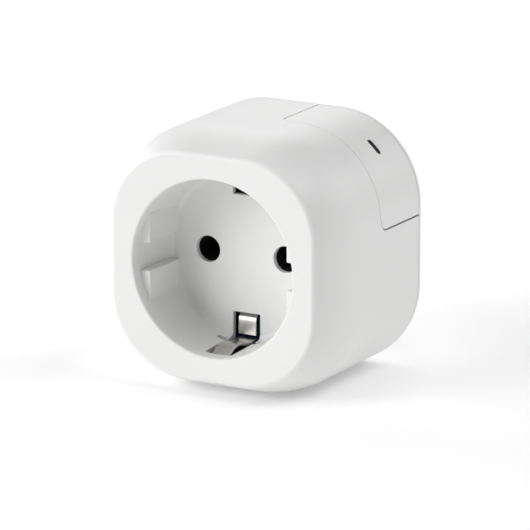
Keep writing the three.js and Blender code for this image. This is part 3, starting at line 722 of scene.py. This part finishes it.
def bent_strip(name, midline, thickness, half_width, turn):
    """A spring strip along a midline of (y, distance from axis) pairs, turned about the axis from upright."""
    sine, cosine = math.sin(math.radians(turn)), math.cos(math.radians(turn))
    line = smooth_line(midline)
    section = strip_section(half_width, thickness / 2)
    rings = []
    for i, point in enumerate(line):
        along = (line[min(i + 1, len(line) - 1)] - line[max(i - 1, 0)]).normalized()
        normal = Vector((-along.y, along.x))
        ring = []
        for across, out in section:
            y, distance = point + normal * out
            ring.append((across * cosine + distance * sine, y, distance * cosine - across * sine))
        rings.append(ring)
    return smooth(loft(name, rings))


def build_strips():
    built = []
    for name, turn, body in (("top", 0, "upper_earth_clip"), ("bottom", 180, "lower_earth_clip")):
        clip = bent_strip(f"earth_spring_{name}", EARTH_CLIP_MIDLINE,
                          EARTH_CLIP_THICKNESS, EARTH_CLIP_HALF, turn)
        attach(clip, body)
        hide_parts(f"earth_clip_{name}")
        built.append(clip)
    other_end = [(y, -z) for y, z in reversed(BRIDGE_END_MIDLINE)]
    bridge = bent_strip("earth_tie_strip", BRIDGE_END_MIDLINE + other_end,
                        EARTH_CLIP_THICKNESS, EARTH_CLIP_HALF, 0)
    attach(bridge, "casing")
    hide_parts("earth_bridge")
    built.append(bridge)
    for name, turn in (("left", -90), ("right", 90)):
        rear = bent_strip(f"plug_earth_strip_{name}", REAR_EARTH_MIDLINE,
                          REAR_EARTH_THICKNESS, REAR_EARTH_HALF, turn)
        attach(rear, "casing")
        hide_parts(f"rear_earth_contact_{name}")
        built.append(rear)
    return built


# ---- Materials ----

def node_material(name):
    material = bpy.data.materials.new(name)
    material.use_nodes = True
    return material, material.node_tree, material.node_tree.nodes["Principled BSDF"]


def noise(tree, scale, detail=3.0, stretch=(1, 1, 1)):
    """Noise over the part, with a number of grains per metre."""
    place_node = tree.nodes.new("ShaderNodeTexCoord")
    mapping = tree.nodes.new("ShaderNodeMapping")
    mapping.inputs["Scale"].default_value = stretch
    texture = tree.nodes.new("ShaderNodeTexNoise")
    texture.inputs["Scale"].default_value = scale
    texture.inputs["Detail"].default_value = detail
    tree.links.new(place_node.outputs["Object"], mapping.inputs["Vector"])
    tree.links.new(mapping.outputs["Vector"], texture.inputs["Vector"])
    return texture.outputs["Fac"]


def vary_color(tree, shader, factor, dark, light):
    ramp = tree.nodes.new("ShaderNodeValToRGB")
    ramp.color_ramp.elements[0].position = 0.35
    ramp.color_ramp.elements[1].position = 0.65
    ramp.color_ramp.elements[0].color = (*dark, 1)
    ramp.color_ramp.elements[1].color = (*light, 1)
    tree.links.new(factor, ramp.inputs["Fac"])
    tree.links.new(ramp.outputs["Color"], shader.inputs["Base Color"])


def vary_roughness(tree, shader, factor, low, high):
    spread = tree.nodes.new("ShaderNodeMapRange")
    spread.inputs["From Min"].default_value = 0.3
    spread.inputs["From Max"].default_value = 0.7
    spread.inputs["To Min"].default_value = low
    spread.inputs["To Max"].default_value = high
    tree.links.new(factor, spread.inputs["Value"])
    tree.links.new(spread.outputs["Result"], shader.inputs["Roughness"])


def add_bump(tree, shader, factor, strength, height_mm):
    bump = tree.nodes.new("ShaderNodeBump")
    bump.inputs["Strength"].default_value = strength
    bump.inputs["Distance"].default_value = height_mm * MM
    tree.links.new(factor, bump.inputs["Height"])
    tree.links.new(bump.outputs["Normal"], shader.inputs["Normal"])


def shade(color, share):
    return tuple(min(value * share, 1.0) for value in color)


def moulded_plastic(name, color, roughness, variation=0.02):
    """Moulded plastic: a fine spark-eroded grain, faint flow marks and an uneven gloss."""
    material, tree, shader = node_material(name)
    flow = noise(tree, 45, 2)
    grain = noise(tree, 3200, 2)
    vary_color(tree, shader, flow, shade(color, 1 - variation), color)
    vary_roughness(tree, shader, flow, roughness - 0.03, roughness + 0.03)
    add_bump(tree, shader, grain, 0.25, 0.012)
    shader.inputs["Specular IOR Level"].default_value = 0.5
    return material


def drawn_metal(name, color, roughness, stretch=(14, 1, 14), scratch_height=0.004):
    """Plated or drawn metal with fine marks along its length."""
    material, tree, shader = node_material(name)
    marks = noise(tree, 900, 4, stretch)
    patches = noise(tree, 260, 3)
    vary_color(tree, shader, patches, shade(color, 0.86), color)
    vary_roughness(tree, shader, marks, roughness - 0.07, roughness + 0.09)
    add_bump(tree, shader, marks, 0.3, scratch_height)
    shader.inputs["Metallic"].default_value = 1.0
    return material


def clear_dark_plastic(name, color):
    """Smoked, polished plastic over the status light."""
    material, tree, shader = node_material(name)
    haze = noise(tree, 700, 2)
    vary_color(tree, shader, haze, shade(color, 0.7), color)
    vary_roughness(tree, shader, haze, 0.3, 0.4)
    shader.inputs["Specular IOR Level"].default_value = 0.2
    return material


def board_laminate(name):
    """Green solder mask over copper tracks on a glass-fibre board."""
    material, tree, shader = node_material(name)
    weave = noise(tree, 2600, 1, (1, 0.3, 1))
    tracks = tree.nodes.new("ShaderNodeTexBrick")
    place_node = tree.nodes.new("ShaderNodeTexCoord")
    tracks.inputs["Scale"].default_value = 160
    tracks.inputs["Color1"].default_value = (0.012, 0.12, 0.045, 1)
    tracks.inputs["Color2"].default_value = (0.02, 0.17, 0.065, 1)
    tracks.inputs["Mortar"].default_value = (0.03, 0.24, 0.1, 1)
    tree.links.new(place_node.outputs["Object"], tracks.inputs["Vector"])
    tree.links.new(tracks.outputs["Color"], shader.inputs["Base Color"])
    vary_roughness(tree, shader, weave, 0.32, 0.45)
    add_bump(tree, shader, weave, 0.2, 0.01)
    return material


def rubber_sleeve(name, color):
    """Soft extruded insulation."""
    material, tree, shader = node_material(name)
    skin = noise(tree, 1800, 3)
    vary_color(tree, shader, skin, shade(color, 0.85), color)
    vary_roughness(tree, shader, skin, 0.5, 0.65)
    add_bump(tree, shader, skin, 0.3, 0.01)
    return material


WHITE = (0.83, 0.83, 0.825)

MATERIALS = {
    "white_shell": moulded_plastic("white_polycarbonate", WHITE, 0.42),
    "light_window": clear_dark_plastic("smoked_lens", (0.012, 0.012, 0.014)),
    "earth_nickel": drawn_metal("nickel_strip", (0.62, 0.61, 0.59), 0.3),
    "pin_nickel": drawn_metal("polished_nickel", (0.68, 0.67, 0.65), 0.2, (18, 1, 18), 0.002),
    "sleeve_brass": drawn_metal("drawn_brass", (0.70, 0.52, 0.22), 0.32),
    "screw_steel": drawn_metal("zinc_steel", (0.50, 0.51, 0.53), 0.34, (4, 4, 4)),
    "shield_steel": drawn_metal("tinned_steel", (0.62, 0.63, 0.64), 0.36, (2, 9, 2)),
    "board_laminate": board_laminate("green_laminate"),
    # Where this black lines the collars and carrier behind the pin holes, it is painted shade standing in for
    # the dark depth of the holes.
    "black_plastic": moulded_plastic("black_plastic", (0.02, 0.02, 0.022), 0.42, variation=0.3),
    "grey_plastic": moulded_plastic("grey_plastic", (0.28, 0.29, 0.30), 0.5, variation=0.1),
    "blue_plastic": moulded_plastic("blue_case", (0.03, 0.12, 0.38), 0.45, variation=0.12),
    "yellow_tape": moulded_plastic("winding_tape", (0.68, 0.42, 0.05), 0.48, variation=0.15),
    "wire_brown": rubber_sleeve("brown_sleeve", (0.14, 0.055, 0.022)),
    "wire_blue": rubber_sleeve("blue_sleeve", (0.03, 0.10, 0.40)),
    "wire_green": rubber_sleeve("earth_sleeve", (0.20, 0.38, 0.05)),
}


def finish_with(obj, slot):
    obj.data.materials.clear()
    obj.data.materials.append(MATERIALS[slot])


def finish_cad_nodes():
    """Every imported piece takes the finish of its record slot, shown or not."""
    slots = {row["node"]: row["material_slot"] for row in frame["record"]["subparts"]}
    for name, node in frame["nodes"].items():
        finish_with(node, slots[name])


# ---- Studio ----

FLOOR_HALF = 3000.0
FLOOR_GLOW = 0.15


def build_floor():
    corners = [(x * FLOOR_HALF, y * FLOOR_HALF, -BODY_HALF) for x, y in ((-1, -1), (1, -1), (1, 1), (-1, 1))]
    floor = new_object("studio_floor", corners, [(0, 1, 2, 3)])
    material, tree, shader = node_material("pale_paper")
    fibres = noise(tree, 1500, 2)
    vary_color(tree, shader, fibres, (0.955, 0.955, 0.955), (0.965, 0.965, 0.965))
    vary_roughness(tree, shader, fibres, 0.9, 0.95)
    shader.inputs["Specular IOR Level"].default_value = 0.0
    shader.inputs["Emission Color"].default_value = (1, 1, 1, 1)
    shader.inputs["Emission Strength"].default_value = FLOOR_GLOW
    floor.data.materials.append(material)


def direction(azimuth, elevation):
    """Azimuth 0 stands in front of the socket face, and grows towards the right side."""
    a, e = math.radians(azimuth), math.radians(elevation)
    return Vector((math.sin(a) * math.cos(e), -math.cos(a) * math.cos(e), math.sin(e)))


SUN_SOFTNESS = 30.0
SUNS = (  # name, azimuth, elevation, strength
    ("left_low", 255, 10, 1.4),
    ("front_left_low", 300, 8, 0.97),
    ("front_low", 325, 8, 0.85),
    ("front_left_high", 325, 35, 0.62),
    ("right_high", 100, 55, 0.82),
    ("rear_right", 140, 25, 0.55),
    ("overhead", 0, 88, 0.5),
    ("rear_left", 205, 27, 0.4),
)
AIR_STRENGTH = 0.13


def light_studio():
    for name, azimuth, elevation, strength in SUNS:
        data = bpy.data.lights.new(name, "SUN")
        data.energy = strength
        data.angle = math.radians(SUN_SOFTNESS)
        lamp = bpy.data.objects.new(name, data)
        lamp.rotation_euler = direction(azimuth, elevation).to_track_quat("Z", "Y").to_euler()
        bpy.context.scene.collection.objects.link(lamp)
    world = bpy.data.worlds.new("studio_air")
    world.use_nodes = True
    air = world.node_tree.nodes["Background"]
    air.inputs["Color"].default_value = (1, 1, 1, 1)
    air.inputs["Strength"].default_value = AIR_STRENGTH
    bpy.context.scene.world = world
    bpy.context.scene.view_settings.view_transform = "Standard"


CAMERA_AZIMUTH = 29.53
CAMERA_ELEVATION = 14.7
CAMERA_DISTANCE = 1200.0
CAMERA_LENS = 378.2
CAMERA_LOOKS_AT = (0.0, 22.0, 0.0)
CAMERA_RIGHT = 0.5
CAMERA_UP = -3.85


def set_camera():
    data = bpy.data.cameras.new("studio_camera")
    data.lens = CAMERA_LENS
    data.sensor_width = 36
    data.clip_end = 20
    camera = bpy.data.objects.new("studio_camera", data)
    towards_camera = direction(CAMERA_AZIMUTH, CAMERA_ELEVATION)
    turn = towards_camera.to_track_quat("Z", "Y")
    right = turn @ Vector((1, 0, 0))
    up = turn @ Vector((0, 1, 0))
    target = place(CAMERA_LOOKS_AT) + (right * CAMERA_RIGHT + up * CAMERA_UP) * MM
    camera.location = target + towards_camera * CAMERA_DISTANCE * MM
    camera.rotation_euler = turn.to_euler()
    bpy.context.scene.collection.objects.link(camera)
    bpy.context.scene.camera = camera


# ---- Build ----

set_camera()
light_studio()
build_floor()
finish_cad_nodes()
finish_with(build_housing(), "white_shell")
finish_with(build_panel(), "white_shell")
finish_with(build_status_lens(), "light_window")
finish_with(build_cover(), "white_shell")
for side_name, pin_z in zip(("lower", "upper"), PIN_PLACES):
    finish_with(build_pin(side_name, pin_z), "pin_nickel")
for screw_number, (screw_x, screw_z) in enumerate(SCREW_PLACES, 1):
    finish_with(build_cover_screw(screw_number, screw_x, screw_z), "screw_steel")
for bent in build_strips():
    finish_with(bent, "earth_nickel")
